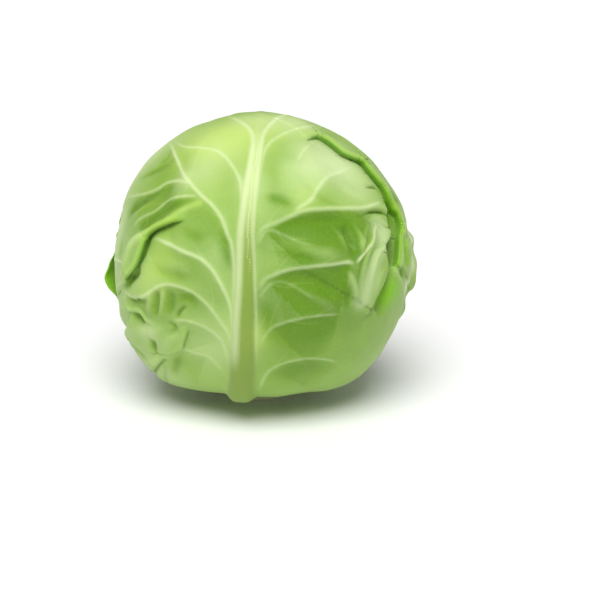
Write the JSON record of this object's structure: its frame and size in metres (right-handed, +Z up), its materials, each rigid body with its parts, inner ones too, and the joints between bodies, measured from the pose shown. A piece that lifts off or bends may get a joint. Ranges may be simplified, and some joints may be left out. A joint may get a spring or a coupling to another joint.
{
  "type": "cabbage head",
  "caption": "Round green cabbage head: ribbed outer leaves wrapped over a dense ball of packed leaves, standing on the cut end of its stalk.",
  "frame": {"origin": "middle of the stalk's flat cut end, on the surface that the head rests on", "axes": "+Z up along the stalk; -Y towards the side that the outermost front leaf's midrib runs up; +X to the right as seen from that side"},
  "size_m": [0.1897, 0.1809, 0.1745],
  "materials": {
    "green_leaf": "waxy, semi-matt, translucent",
    "pale_leaf": "waxy, semi-matt, translucent",
    "packed_leaves": "semi-matt",
    "stalk": "matt, moist cut face"
  },
  "bodies": {
    "root": {"stalk": "stalk", "heart": "packed_leaves", "under_leaf_left": "pale_leaf", "under_leaf_back": "pale_leaf", "under_leaf_right": "pale_leaf", "wrapper_leaf_right": "green_leaf", "wrapper_leaf_front": "green_leaf", "wrapper_leaf_left": "green_leaf"}
  },
  "joints": []
}
